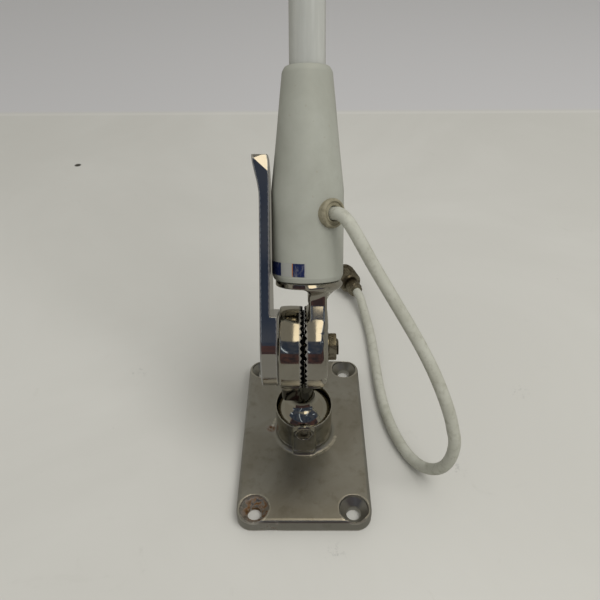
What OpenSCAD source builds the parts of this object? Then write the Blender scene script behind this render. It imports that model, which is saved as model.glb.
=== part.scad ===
// Fibreglass whip antenna on a stainless fold-down ratchet mount.
// Millimetres. Origin at the centre of the base plate's underside, +Z up,
// the front of the mount towards -Y. The whip leans back, towards +Y.

/* [Base plate] */
// Width of the base plate, left to right
plate_w = 76.2; // [70:0.1:90]
// Length of the base plate, front to back
plate_l = 127; // [115:1:150]
// Height of the plate's top face
plate_t = 9; // [8:0.5:12]
// Corner radius of the plate, seen from above
corner_r = 9; // [6:0.5:12]
// Rounding along the plate's top edge
edge_r = 2.5; // [1:0.5:3]
// Thickness of the plate over the hollow underside
web_t = 6.5; // [5:0.5:7]
// Screw hole spacing, left to right
hole_dx = 56; // [50:1:60]
// Screw hole spacing, front to back
hole_dy = 109.4; // [100:0.2:112]
// Screw hole diameter
hole_d = 8.2; // [6:0.1:9]
// Countersink diameter at the top face
sink_d = 16.2; // [14:0.1:17]

/* [Swivel boss] */
// Outer diameter of the boss
boss_d = 34.2; // [32:0.2:38]
// Height of the boss rim above the plate at the boss axis
boss_h = 25.9; // [24:0.1:30]
// Tilt of the rim, low at the front, in degrees
rim_tilt = 11; // [0:1:12]
// Width of the raised pad that holds the set screw
pad_w = 14; // [12:0.5:15]
// Diameter of the set screw
screw_d = 8.4; // [6:0.2:8.6]

/* [Ratchet discs] */
// Height of the tilt axis above the underside of the plate
pivot_z = 81; // [79:0.5:90]
// Radius of the toothed discs
disc_r = 23; // [22:0.5:24]
// Width of each toothed disc
disc_t = 13; // [12:0.5:14]
// Number of teeth round each disc
teeth = 40; // [20:4:60]
// Height of a tooth
tooth_h = 1.6; // [1:0.1:1.8]
// Open space between the tips of the two sets of teeth
tip_gap = 0.5; // [0.3:0.1:0.6]
// Diameter of the pivot bolt
bolt_d = 9.5; // [8:0.5:10]

/* [Whip] */
// Lean of the whip from upright, a whole number of teeth
lean = 27; // [0:9:45]
// Sideways place of the whip's axis
whip_x = 2.4; // [2:0.1:3]
// Distance from the pivot to the bottom of the collar
collar_s = 38.7; // [38:0.1:42]
// Outer radius of the collar's straight part
collar_r = 19.2; // [19:0.1:19.2]
// Length of the collar
collar_h = 109; // [105:1:112]
// Outer radius of the fibreglass tube
tube_r = 9.3; // [9:0.1:9.4]
// Length from the bottom of the collar to the tip of the whip
whip_h = 900; // [700:50:1200]

/* [Lever] */
// Radius of the lever's round hub
hub_r = 21.5; // [20:0.5:22]
// Distance from the pivot to the end of the lever
lever_h = 104.5; // [95:0.5:110]
// Thickness of the lever bar
bar_t = 5.5; // [5:0.1:5.6]

/* [Cable] */
// Diameter of the coax cable
cable_d = 6.8; // [6:0.2:7]
// Height of the grommet along the whip, from the pivot
grommet_s = 74.5; // [72:0.5:78]
// Direction of the grommet, turned from the front towards +X, in degrees
grommet_a = 39; // [35:1:45]

/* [Hidden] */
$fn = 64;
running = 0.06;             // radial clearance of a shaft that turns in a bore
steel = "silver";
cream = [0.80, 0.80, 0.74];
shell_white = [0.66, 0.68, 0.65];
gloss_white = [0.90, 0.92, 0.92];
brass_tone = [0.78, 0.63, 0.33];
nickel = [0.60, 0.58, 0.52];

pocket_wall = 5;            // wall round the hollow underside
sink_wall = 1.6;            // straight wall above the countersink's cone
foot_r = 9;
mouth = 0.5;                // chamfer round the set screw's hole
boss_r = boss_d / 2;
boss_foot = 2;              // flare of the boss where it meets the plate
floor_z = 14;               // floor of the swivel bore
shelf_z = 21;               // shelf that the thrust washer lies on
ledge_z = 29;               // step under the edge of the dome
cup_r = boss_r - 0.6;       // inside of the thin rim
skirt_r = 14.2;             // ring of the knuckle, above the thrust washer
skirt_top = 24.4;
spigot_r = 12;
bolt_well_r = 11.5;         // well under the plate for the swivel bolt
bolt_well_z = 9;
swivel_bolt_r = 4;
washer_t = 1.6;
head_t = 5;

pad_y = -18.6;
pad_z = 27.4;
pad_depth = 8;
screw_in = 0.4;             // the set screw's outer end, below the pad's face
screw_t = 1.4;              // length of its threaded part
point_r = 1.5;              // its thin point, which enters the knuckle's groove
point_end = 5.1;

dome_r = 16.2;
dome_z = 30.3;              // edge of the dome, just inside the rim
dome_h = 10;                // height of the dome's cap above its edge
cap_r = (dome_r * dome_r + dome_h * dome_h) / (2 * dome_h);
neck_r = 7;
neck_x = -0.8;
disc_in = tip_gap / 2;      // distance of the tooth tips from the middle plane
root_in = disc_in + tooth_h;
tooth_r0 = 15;              // inner end of the teeth
relief_in = root_in + 0.6;  // face inside the ring of teeth
spring_pocket_r = 9.4;
spring_pocket_d = 7.5;
spring_r = 7.2;
wire_r = 0.8;
spring_half = 7.2;
spring_turns = 4;
bolt_r = bolt_d / 2;

inset = 0.4;                // step from a disc's outer face to the web beside it
flange_r = 17.4;
flange_t = 3.2;
seal_t = 0.4;
flange_s = collar_s - seal_t - flange_t;
slope = 7;                  // height of the cone under the flange
stud_r = 12.6;              // the one inch mounting stud
stud_h = 22;
stem_in = 2.8;              // left face of the stem
lock_t = 0.9;
nut_t = 4.2;
nut_flats = 14.3;
bolt_left = -21;
bolt_right = 19.4;

chamfer = 2.6;              // chamfer round the bottom of the collar
taper_s = 86.5;             // where the collar starts to narrow
collar_top_r = 13;
shoulder_r = 3;
wall = 3.2;
collar_top_s = collar_s + collar_h;
insert_r = 14.6;
insert_h = 26;
socket_s = 104;             // lower end of the tube, inside the collar
tube_wall = 1.9;
tip_s = collar_s + whip_h;
cap_h = 26;
cap_wall = 1.1;
rod_s = 86;                 // lower end of the radiator rod
rod_r = 1.5;
label_s = 42.2;
label_h = 7;
label_t = 0.15;
label_from = -176;          // the label's two ends, turned from the front
label_to = -4;

grommet_r = 7.6;
grommet_neck_r = 5;
grommet_out = 2.6;          // how far the grommet stands off the collar
cable_r = cable_d / 2;
lead_in = 5.2;              // inner end of the feed lead, from the whip's axis

bar_in = -17.3;             // inner face of the lever's upper part
hub_in = -13.5;             // inner face of its thicker lower part
nose_s = 5;                 // centre of the round front, above the tilt axis
heel_r = hub_r - 1;         // the round bottom, and its centre
heel_at = [1.5, -1.5];
side_turn = 8.8;            // slant of the front and back faces, in degrees
heel_turn = 4.4;            // where the back and the front meet the round bottom
nose_turn = 201.6;
tip_w = 13.5;               // width of the lever at its tip
ledge_s = 19.6;             // top of the thicker part, and its slope to the back
ledge_turn = 6.7;
flare_s = 86;               // where the tip starts to turn outwards
flare = 4;

floor_line = 3.5;           // height of the cable's middle where it lies flat
plug_at = [43.2, 143.1, 9.4];   // back end of the plug
plug_turn = 20;             // the plug's heading, turned from +Y towards -X
plug_dir = [-sin(plug_turn), cos(plug_turn), 0];
ring_r = 9.1;
ring_bore = 5.4 + running;
pin_r = 1.95;
grommet_dir = [
    sin(grommet_a),
    -cos(grommet_a) * cos(lean),
    cos(grommet_a) * sin(lean)
];
cable_exit = [whip_x, 0, pivot_z] + (collar_r + grommet_out) * grommet_dir
    + grommet_s * [0, sin(lean), cos(lean)];

// The cable's route from the grommet, in the air, down to the seam.
loop_route = [
    [21.4, 12.6, 155.4], [25, 9, 151.4], [29.2, 5.6, 145], [34.4, 1.9, 136.6],
    [40.5, -2, 127.2], [47, -6.5, 117.5], [53.8, -11.5, 107.5], [60.7, -17, 97],
    [67, -23, 86.5], [72.5, -29, 75.5], [76.8, -33.4, 65], [78.6, -35.2, 59.5], [80, -36.6, 54]
];
// The cable's route from the seam down to the floor and along it to the plug.
tail_route = concat([
    [80, -36.6, 54], [81.4, -38, 48.5], [82, -38.8, 41], [81.4, -38.4, 31],
    [79.2, -36.2, 21], [75.4, -31.6, 12.4], [70.6, -25, 6.4], [66, -17.6, 3.9],
    [62.2, -10, floor_line], [59.2, -2, floor_line], [56.7, 7, floor_line],
    [54.7, 17, floor_line], [53.3, 28, floor_line], [52.4, 40, floor_line],
    [51.9, 53, floor_line], [51.7, 66, floor_line], [51.5, 79, floor_line],
    [51.2, 91, floor_line], [50.6, 102, floor_line], [49.8, 111, floor_line],
    [48.8, 119, 4.2], [47.6, 126, 6.1], [46.3, 132.4, 8.3]],
    [plug_at - 5 * plug_dir, plug_at]);

// ---------- placing ----------

// The whip's own frame: origin on the tilt axis, +Z along the whip, -Y its front.
module on_whip(x = 0) {
    translate([x, 0, pivot_z]) rotate([-lean, 0, 0]) children();
}

// A frame whose +Z runs along the tilt axis, towards +X.
module along_axle() {
    translate([0, 0, pivot_z]) rotate([0, 90, 0]) children();
}

// A frame on the whip's side where the cable leaves, +Z pointing outwards.
module at_grommet() {
    on_whip(whip_x) translate([0, 0, grommet_s]) rotate([0, 0, grommet_a])
        rotate([90, 0, 0]) children();
}

// A frame on the pad's face, +Z pointing out of the set screw's hole.
module at_pad() {
    translate([0, pad_y, pad_z]) rotate([90, 0, 0]) children();
}

// The plug's frame: +Z along the plug, from the cable to the pin.
module at_plug() {
    translate(plug_at) rotate([0, 0, plug_turn]) rotate([-90, 0, 0]) children();
}

// ---------- shapes used more than once ----------

// A half profile with a rounded upper outer corner.
module round_shoulder(r, h, f) {
    polygon(concat([[0, 0], [r, 0]],
        [for (a = [0 : 15 : 90]) [r - f + f * cos(a), h - f + f * sin(a)]],
        [[0, h]]));
}

// A slab with rounded corners and a rounded top edge.
module soft_slab(w, l, h, r, f) {
    for (x = [-1, 1], y = [-1, 1])
        translate([x * (w / 2 - r), y * (l / 2 - r), 0]) rotate_extrude() round_shoulder(r, h, f);
    for (s = [0, 180]) rotate([0, 0, s]) {
        translate([w / 2 - r, 0, 0]) rotate([90, 0, 0])
            linear_extrude(l - 2 * r, center = true) round_shoulder(r, h, f);
        translate([0, l / 2 - r, 0]) rotate([90, 0, 90])
            linear_extrude(w - 2 * r, center = true) round_shoulder(r, h, f);
    }
    translate([0, 0, h / 2]) cube([w - 2 * r + 0.02, l - 2 * r + 0.02, h], center = true);
}

// A tube swept along a route, one ring of points at each route point.
module sweep(route, r, sides = 10) {
    last = len(route) - 1;
    function heading(i) = route[min(i + 1, last)] - route[max(i - 1, 0)];
    function ring(i) =
        let (h = heading(i) / norm(heading(i)),
             side = cross(abs(h[2]) < 0.9 ? [0, 0, 1] : [0, 1, 0], h),
             p = side / norm(side),
             q = cross(h, p))
        [for (k = [0 : sides - 1])
            route[i] + r * (cos(360 * k / sides) * p + sin(360 * k / sides) * q)];
    points = [for (i = [0 : last]) each ring(i)];
    skin = [for (i = [0 : last - 1], k = [0 : sides - 1])
        let (a = i * sides + k, b = i * sides + (k + 1) % sides)
        each [[a, a + sides, b], [b, a + sides, b + sides]]];
    first_cap = [[for (k = [0 : sides - 1]) k]];
    last_cap = [[for (k = [sides - 1 : -1 : 0]) last * sides + k]];
    polyhedron(points, concat(skin, first_cap, last_cap));
}

// A coil of wire about +Z, from z0 to z1.
module wire_coil(r, wire, z0, z1, turns, steps = 12) {
    sweep([for (i = [0 : turns * steps])
        [r * cos(360 * i / steps), r * sin(360 * i / steps),
         z0 + (z1 - z0) * i / (turns * steps)]], wire, 8);
}

// Radial ridges round +Z, with their roots at z = 0 and their tips at z = tooth_h.
module tooth_ring(phase) {
    half = PI * disc_r / teeth + 0.1;
    for (i = [0 : teeth - 1])
        rotate([0, 0, (i + phase) * 360 / teeth]) translate([tooth_r0, 0, 0])
            rotate([90, 0, 90]) linear_extrude(disc_r - tooth_r0)
                polygon([[-half, 0], [0, tooth_h], [half, 0], [half, -0.2], [-half, -0.2]]);
}

// One toothed disc on +Z: outer face at z = 0, tips at z = disc_t - disc_in.
module toothed_disc(phase, edge) {
    root_z = disc_t - root_in;
    rotate_extrude() difference() {
        translate([0, root_z]) mirror([0, 1]) round_shoulder(disc_r, root_z, edge);
        translate([0, disc_t - relief_in]) square([tooth_r0, relief_in]);
    }
    intersection() {
        translate([0, 0, root_z]) tooth_ring(phase);
        difference() {
            cylinder(r = disc_r, h = disc_t);
            translate([0, 0, -1]) cylinder(r = tooth_r0 + 0.5, h = disc_t + 2);
        }
    }
}

// ---------- base ----------

module base_plate() color(steel) difference() {
    union() {
        soft_slab(plate_w, plate_l, plate_t, corner_r, edge_r);
        difference() {
            rotate_extrude() polygon([
                [0, plate_t - 1], [boss_r + boss_foot, plate_t - 1],
                [boss_r + boss_foot, plate_t], [boss_r + 0.7, plate_t + 0.6],
                [boss_r, plate_t + boss_foot], [boss_r, plate_t + boss_h + 8],
                [0, plate_t + boss_h + 8]]);
            translate([0, 0, plate_t + boss_h]) rotate([rim_tilt, 0, 0])
                translate([-40, -40, 0]) cube([80, 80, 40]);
        }
        at_pad() translate([0, 0, -pad_depth]) linear_extrude(pad_depth) {
            circle(d = pad_w);
            translate([-pad_w / 2, plate_t - 1 - pad_z]) square([pad_w, pad_z - plate_t + 1]);
        }
    }
    // swivel bore, cup for the dome and the well for the swivel bolt
    translate([0, 0, floor_z]) cylinder(r = spigot_r + running, h = 60);
    translate([0, 0, shelf_z]) cylinder(r = skirt_r + running, h = 60);
    translate([0, 0, ledge_z]) cylinder(r = cup_r, h = 60);
    translate([0, 0, -1]) cylinder(r = bolt_well_r, h = bolt_well_z + 1);
    cylinder(r = swivel_bolt_r + 0.3, h = floor_z + 1);
    at_pad() translate([0, 0, -6]) cylinder(d = screw_d + 0.1, h = 20);
    at_pad() translate([0, 0, -mouth]) cylinder(d1 = screw_d + 0.1, d2 = screw_d + 2.1, h = 2 * mouth);
    // hollow underside, with a solid foot round each screw hole
    difference() {
        translate([0, 0, (plate_t - web_t) / 2 - 0.5])
            cube([plate_w - 2 * pocket_wall, plate_l - 2 * pocket_wall, plate_t - web_t + 1],
                center = true);
        for (x = [-1, 1], y = [-1, 1]) translate([x * hole_dx / 2, y * hole_dy / 2, -2])
            cylinder(r = foot_r, h = plate_t);
    }
    for (x = [-1, 1], y = [-1, 1]) translate([x * hole_dx / 2, y * hole_dy / 2, 0]) {
        translate([0, 0, -1]) cylinder(d = hole_d, h = plate_t + 2);
        cone_h = (sink_d - hole_d) / 2;
        translate([0, 0, plate_t - sink_wall - cone_h])
            cylinder(d1 = hole_d, d2 = sink_d, h = cone_h);
        translate([0, 0, plate_t - sink_wall]) cylinder(d = sink_d, h = sink_wall + 1);
    }
}

module set_screw() color(nickel) at_pad() difference() {
    rotate_extrude() polygon([
        [0, -point_end], [point_r, -point_end], [point_r, -screw_in - screw_t],
        [screw_d / 2, -screw_in - screw_t], [screw_d / 2, -screw_in - 0.3],
        [screw_d / 2 - 0.6, -screw_in], [0, -screw_in]]);
    translate([0, 0, -screw_in - 0.9]) cylinder(d = 4.6, h = 4, $fn = 6);
}

module thrust_washer() color("ivory") difference() {
    translate([0, 0, shelf_z]) cylinder(r = skirt_r - 0.1, h = 1.2);
    translate([0, 0, shelf_z - 1]) cylinder(r = spigot_r + 0.3, h = 4);
}

// ---------- knuckle ----------

module knuckle() color(steel) difference() {
    union() {
        // spigot and flat-bottomed dome
        translate([0, 0, floor_z + 0.3]) cylinder(r = spigot_r, h = dome_z - floor_z);
        translate([0, 0, shelf_z + 1.3]) cylinder(r = skirt_r, h = skirt_top - shelf_z - 1.3);
        translate([0, 0, ledge_z + 0.3]) cylinder(r = dome_r, h = dome_z - ledge_z - 0.3);
        intersection() {
            translate([0, 0, dome_z + dome_h - cap_r]) sphere(r = cap_r);
            translate([0, 0, dome_z]) cylinder(r = dome_r, h = dome_h + 1);
        }
        // neck, and the cheek that carries the left disc
        translate([0, 0, dome_z]) cylinder(r = neck_r + 1.6, h = 9);
        translate([neck_x, 0, dome_z]) cylinder(r = neck_r, h = pivot_z - disc_r - dome_z - 1.5);
        translate([inset - disc_t, 0, 0]) rotate([90, 0, 90])
            linear_extrude(disc_t - relief_in - inset) polygon([[-7.5, 45], [7.5, 45], [14, 64], [-14, 64]]);
        translate([-disc_t, 0, 0]) along_axle() toothed_disc(0, 1.6);
    }
    along_axle() translate([0, 0, -40]) cylinder(r = bolt_r + running, h = 40);
    along_axle() translate([0, 0, -spring_pocket_d]) cylinder(r = spring_pocket_r, h = 10);
    translate([0, 0, floor_z]) cylinder(r = swivel_bolt_r, h = 14);
}

module swivel_bolt() color(nickel) {
    translate([0, 0, bolt_well_z - washer_t - head_t]) difference() {
        cylinder(d = 13 / cos(30), h = head_t, $fn = 6);
        translate([0, 0, -1]) cylinder(d = 7, h = 1.6);
    }
    translate([0, 0, bolt_well_z - washer_t - 0.5]) cylinder(r = swivel_bolt_r, h = 19);
}

module swivel_washer() color(nickel) translate([0, 0, bolt_well_z - washer_t]) difference() {
    cylinder(r = 10.5, h = washer_t - 0.1);
    translate([0, 0, -1]) cylinder(r = swivel_bolt_r + 0.05, h = 4);
}

module release_spring() color(nickel)
    along_axle() wire_coil(spring_r, wire_r, -spring_half + 0.9, spring_half - 0.9, spring_turns);

// ---------- parts that tilt ----------

module swing_bracket() color(steel) {
    difference() {
        union() {
            translate([disc_t, 0, pivot_z]) rotate([0, -90, 0])
                rotate([0, 0, lean]) toothed_disc(0.5, 4);
            on_whip() {
                // stem, wide at the disc and narrower under the flange
                translate([stem_in, 0, 0]) rotate([90, 0, 90])
                    linear_extrude(disc_t - inset - stem_in) polygon([
                        [-18, 13], [18, 13], [13, 26], [13, 36], [-13, 36], [-13, 26]]);
                translate([whip_x, 0, flange_s]) cylinder(r = flange_r, h = flange_t);
                // slope from the stem out to the flange's right side
                intersection() {
                    translate([whip_x, 0, flange_s - slope])
                        cylinder(r1 = flange_r - slope, r2 = flange_r, h = slope);
                    translate([stem_in, -20, 0]) cube([30, 40, 40]);
                }
            }
        }
        along_axle() translate([0, 0, -1]) cylinder(r = bolt_r + 0.02, h = 30);
        along_axle() translate([0, 0, -1]) cylinder(r = spring_pocket_r, h = spring_pocket_d + 1);
    }
    on_whip(whip_x) translate([0, 0, flange_s + 1]) cylinder(r = stud_r, h = stud_h + flange_t - 1);
}

module pivot_bolt() color(nickel) along_axle() {
    translate([0, 0, bolt_left]) rotate_extrude()
        round_shoulder(bolt_r, bolt_right - bolt_left, 0.8);
}

module hex_nut() color(nickel) along_axle() translate([0, 0, disc_t + lock_t]) difference() {
    intersection() {
        rotate([0, 0, 12]) cylinder(d = nut_flats / cos(30), h = nut_t, $fn = 6);
        rotate_extrude() round_shoulder(nut_flats / 2 + 1.1, nut_t, 1);
    }
    translate([0, 0, -1]) cylinder(r = bolt_r + 0.02, h = nut_t + 2);
}

module lock_washer() color(nickel) along_axle() translate([0, 0, disc_t]) difference() {
    cylinder(r = 8.2, h = lock_t);
    translate([0, 0, -1]) cylinder(r = bolt_r + 0.05, h = 4);
}

module collar_seal() color("dimgray")
    on_whip(whip_x) translate([0, 0, collar_s - seal_t]) difference() {
        cylinder(r = flange_r - 0.6, h = seal_t);
        translate([0, 0, -1]) cylinder(r = stud_r + 0.1, h = 3);
    }

// Outer half profile of the collar, as distance along the whip and radius.
module collar_outline() {
    top_y = collar_top_s - shoulder_r;
    polygon(concat(
        [[0, collar_s], [collar_r - chamfer * 0.4, collar_s], [collar_r, collar_s + chamfer],
         [collar_r, taper_s], [collar_top_r, top_y]],
        [for (a = [15 : 15 : 90])
            [collar_top_r - shoulder_r + shoulder_r * cos(a), top_y + shoulder_r * sin(a)]],
        [[0, collar_top_s]]));
}

module collar() color(shell_white) difference() {
    on_whip(whip_x) difference() {
        rotate_extrude() collar_outline();
        // seat of the threaded insert, coil chamber and tube socket
        translate([0, 0, collar_s - 1]) cylinder(r = insert_r, h = insert_h + 1);
        translate([0, 0, collar_s + insert_h - 1]) cylinder(r = 13.4, h = 24.5);
        translate([0, 0, collar_s + insert_h + 23])
            cylinder(r = tube_r + 0.05, h = collar_h);
    }
    at_grommet() cylinder(r = grommet_neck_r, h = 40);
}

module thread_insert() color(brass_tone) on_whip(whip_x) difference() {
    translate([0, 0, collar_s + 0.3]) cylinder(r = insert_r, h = insert_h - 0.6);
    translate([0, 0, collar_s - 1]) cylinder(r = stud_r + 0.1, h = insert_h + 2);
}

module label_band() color("midnightblue") on_whip(whip_x) translate([0, 0, label_s])
    rotate([0, 0, label_from - 90]) rotate_extrude(angle = label_to - label_from)
        translate([collar_r, 0]) square([label_t, label_h]);

module cable_grommet() color([0.62, 0.58, 0.42]) at_grommet() difference() {
    union() {
        translate([0, 0, collar_r - wall - 1.5]) cylinder(r = grommet_neck_r, h = wall + 2);
        translate([0, 0, collar_r - 2]) rotate_extrude()
            round_shoulder(grommet_r, grommet_out + 2, 1.6);
    }
    translate([0, 0, 5]) cylinder(r = cable_r, h = 30);
    // the flange follows the collar's round side
    rotate([-90, 0, 0]) rotate([0, 0, -grommet_a]) difference() {
        translate([0, 0, -20]) cylinder(r = collar_r, h = 40);
        rotate([0, 0, grommet_a]) rotate([90, 0, 0]) cylinder(r = grommet_neck_r, h = 40);
    }
}

module whip_tube() color(gloss_white) on_whip(whip_x) difference() {
    translate([0, 0, socket_s]) cylinder(r = tube_r, h = tip_s - 3 - socket_s);
    translate([0, 0, socket_s - 1]) cylinder(r = tube_r - tube_wall, h = tip_s);
}

module tip_cap() color(gloss_white) on_whip(whip_x) translate([0, 0, tip_s - cap_h]) difference() {
    rotate_extrude() round_shoulder(tube_r + cap_wall, cap_h, 6);
    translate([0, 0, -1]) cylinder(r = tube_r + 0.02, h = cap_h - 2);
}

module radiator_rod() color(brass_tone) on_whip(whip_x)
    translate([0, 0, rod_s]) cylinder(r = rod_r, h = tip_s - 30 - rod_s);

module foam_spacers() color("whitesmoke") on_whip(whip_x) for (i = [0 : 5])
    translate([0, 0, 180 + i * 130]) difference() {
        cylinder(r = tube_r - tube_wall - 0.05, h = 14);
        translate([0, 0, -1]) cylinder(r = rod_r + 0.05, h = 16);
    }

module coil_former() color("tan") on_whip(whip_x) difference() {
    translate([0, 0, 66]) cylinder(r = 5, h = 30);
    translate([0, 0, rod_s]) cylinder(r = rod_r, h = 20);
}

module matching_coil() color("peru")
    on_whip(whip_x) wire_coil(6, 0.8, 80, 93, 5);

module feed_lead() color(cream) at_grommet() translate([0, 0, lead_in])
    cylinder(r = cable_r - 0.05, h = collar_r + grommet_out - lead_in);

module cable_loop() color(cream)
    sweep(concat([cable_exit, cable_exit + 3 * grommet_dir], loop_route), cable_r);

// ---------- lever ----------

// Side outline of the lever: round below, straight up to a narrow tip.
module lever_side() {
    function arc(at, r, a) = at + r * [cos(a), sin(a)];
    nose = [0, nose_s];
    polygon(concat(
        [arc(nose, hub_r, side_turn)],
        [for (k = [0 : 36]) arc(heel_at, heel_r, heel_turn + k * (nose_turn - 360 - heel_turn) / 36)],
        [for (k = [0 : 7]) arc(nose, hub_r, nose_turn + k * (180 - side_turn - nose_turn) / 7)],
        [[-tip_w / 2, lever_h - 2], [-tip_w / 2 + 2, lever_h],
         [tip_w / 2 - 2, lever_h], [tip_w / 2, lever_h - 2]]));
}

// Front outline, as distance from the middle plane and height along the whip.
// Its thick side is cut back above the ledge.
module lever_front() polygon([
    [hub_in, -30], [hub_in, 60], [bar_in - 0.6, lever_h - 3],
    [bar_in - 1.2, lever_h + 1], [bar_in - bar_t - flare, lever_h + 1],
    [bar_in - bar_t - flare + 0.6, lever_h - 4],
    [bar_in - bar_t, flare_s], [bar_in - bar_t, -30]]);

module lever() color(steel) difference() {
    intersection() {
        on_whip(bar_in - 20) rotate([90, 0, 90]) linear_extrude(40) lever_side();
        on_whip() translate([0, 40, 0]) rotate([90, 0, 0]) linear_extrude(80) lever_front();
    }
    on_whip(bar_in) translate([0, 0, ledge_s]) rotate([-ledge_turn, 0, 0])
        translate([0, -60, 0]) cube([20, 120, 120]);
    along_axle() translate([0, 0, bolt_left - 0.5]) cylinder(r = bolt_r + running, h = 30);
}

// ---------- cable end ----------

module cable_tail() color(cream) sweep(tail_route, cable_r);

module plug_body() color(nickel) at_plug() difference() {
    union() {
        rotate_extrude() polygon([
            [0, 0], [4.9, 0], [5.3, 0.6], [5.3, 2.5], [5.9, 2.9], [5.9, 8.4], [5.4, 8.8],
            [5.4, 17.5], [7.4, 17.5], [7.4, 20], [5.8, 20], [5.8, 29.5], [5.4, 29.9], [0, 29.9]]);
        for (k = [0 : 11]) rotate([0, 0, k * 30]) translate([5.7, -0.4, 3]) cube([0.6, 0.8, 5]);
    }
    translate([0, 0, 22.5]) cylinder(r = 4.6, h = 10);
    translate([0, 0, -1]) cylinder(r = cable_r - 0.6, h = 3);
}

module coupling_ring() color(nickel) at_plug() difference() {
    union() {
        translate([0, 0, 10.5]) rotate_extrude() polygon([
            [0, 0], [7.6, 0], [8.7, 1.2], [8.7, 16.2], [8.2, 17], [8.2, 18.5], [0, 18.5]]);
        for (k = [0 : 23]) rotate([0, 0, k * 15])
            translate([8.4, -0.5, 12.5]) cube([ring_r - 8.4, 1, 13.5]);
    }
    translate([0, 0, 9]) cylinder(r = ring_bore, h = 30);
    translate([0, 0, 17]) cylinder(r = 7.7, h = 20);
}

module plug_insulator() color("whitesmoke") at_plug() difference() {
    translate([0, 0, 23]) cylinder(r = 4.55, h = 6.5);
    translate([0, 0, 20]) cylinder(r = pin_r, h = 20);
}

module plug_pin() color(brass_tone) at_plug()
    translate([0, 0, 24]) rotate_extrude() round_shoulder(pin_r, 15.5, 1.2);

base_plate();
set_screw();
thrust_washer();
knuckle();
swivel_bolt();
swivel_washer();
release_spring();
swing_bracket();
pivot_bolt();
hex_nut();
lock_washer();
collar_seal();
collar();
thread_insert();
label_band();
cable_grommet();
whip_tube();
tip_cap();
radiator_rod();
foam_spacers();
coil_former();
matching_coil();
feed_lead();
cable_loop();
lever();
cable_tail();
plug_body();
coupling_ring();
plug_insulator();
plug_pin();
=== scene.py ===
"""Fibreglass whip antenna on a stainless fold-down ratchet mount.

Shapes are made in millimetres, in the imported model's frame, and turned into metres
when the mesh is written. The castings are distance fields meshed with surface nets.
"""
import math

import bpy
import numpy as np
from mathutils import Matrix, Vector


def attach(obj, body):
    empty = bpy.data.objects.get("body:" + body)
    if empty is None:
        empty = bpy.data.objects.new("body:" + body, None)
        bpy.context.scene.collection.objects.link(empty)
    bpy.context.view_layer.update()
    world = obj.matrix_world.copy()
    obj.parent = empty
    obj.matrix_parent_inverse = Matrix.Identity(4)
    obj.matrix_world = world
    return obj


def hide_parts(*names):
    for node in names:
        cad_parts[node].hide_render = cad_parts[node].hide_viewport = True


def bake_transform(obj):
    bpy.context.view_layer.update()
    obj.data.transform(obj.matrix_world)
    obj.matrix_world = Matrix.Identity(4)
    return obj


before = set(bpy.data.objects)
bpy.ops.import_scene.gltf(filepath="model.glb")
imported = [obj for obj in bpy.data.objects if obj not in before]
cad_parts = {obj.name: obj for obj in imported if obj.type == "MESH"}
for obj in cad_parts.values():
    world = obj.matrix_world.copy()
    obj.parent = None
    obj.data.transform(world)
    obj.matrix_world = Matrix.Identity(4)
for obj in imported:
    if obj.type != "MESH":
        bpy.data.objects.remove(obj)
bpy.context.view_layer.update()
MM = 0.001

# -------------------- measures, in mm
PLATE_W, PLATE_L, PLATE_T, CORNER_R, EDGE_R = 76.2, 127.0, 9.0, 9.0, 2.5
HOLE_X, HOLE_Y, HOLE_R, SINK_R, SINK_WALL = 28.0, 54.7, 4.1, 8.1, 1.6
BOSS_R, BOSS_Z, RIM_TILT = 17.1, 33.7, math.radians(7)
PAD_Y, PAD_Z, PAD_R = -18.6, 27.4, 6.6
PIVOT_Z, LEAN, WHIP_X = 81.0, math.radians(27), 2.4
DISC_R, DISC_T, TEETH, TOOTH_H, TIP_IN, TOOTH_R0 = 23.0, 13.0, 40, 1.6, 0.45, 15.0
BOLT_R, BOLT_HOLE, POCKET_R, POCKET_X = 4.75, 4.81, 9.4, 7.5
SOCKET_STEPS = (12.06, 14), (14.26, 21), (16.5, 29)  # radius and floor of each step in the boss
COLLAR_S, COLLAR_R, COLLAR_TOP = 38.7, 19.2, 147.7
TUBE_R, TIP_S = 9.3, 938.7
GROMMET_S, GROMMET_A = 74.5, math.radians(39)
CABLE_R = 3.4
PLUG_AT, PLUG_TURN = (43.2, 143.1, 9.4), math.radians(20)


# -------------------- frames
def axes(origin, x, y, z):
    """4x4 matrix, in mm, of a frame with these axes."""
    m = Matrix.Identity(4)
    for i, v in enumerate((x, y, z, origin)):
        m.col[i].xyz = v
    return m


SIN, COS, COS_45 = math.sin(LEAN), math.cos(LEAN), 0.7071
WHIP = axes((0, 0, PIVOT_Z), (1, 0, 0), (0, COS, -SIN), (0, SIN, COS))
WHIP_AXIS = WHIP @ Matrix.Translation((WHIP_X, 0, 0))
AXLE = axes((0, 0, PIVOT_Z), (0, 0, -1), (0, 1, 0), (1, 0, 0))
PLUG = (
    Matrix.Translation(PLUG_AT)
    @ Matrix.Rotation(PLUG_TURN, 4, "Z")
    @ Matrix.Rotation(-math.pi / 2, 4, "X")
)
GROMMET = (
    WHIP_AXIS
    @ Matrix.Translation((0, 0, GROMMET_S))
    @ Matrix.Rotation(GROMMET_A, 4, "Z")
    @ Matrix.Rotation(math.pi / 2, 4, "X")
)
PAD = axes((0, PAD_Y, PAD_Z), (1, 0, 0), (0, 0, 1), (0, -1, 0))


def moved(matrix, points):
    m = np.array(matrix)
    return np.asarray(points, float) @ m[:3, :3].T + m[:3, 3]


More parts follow.
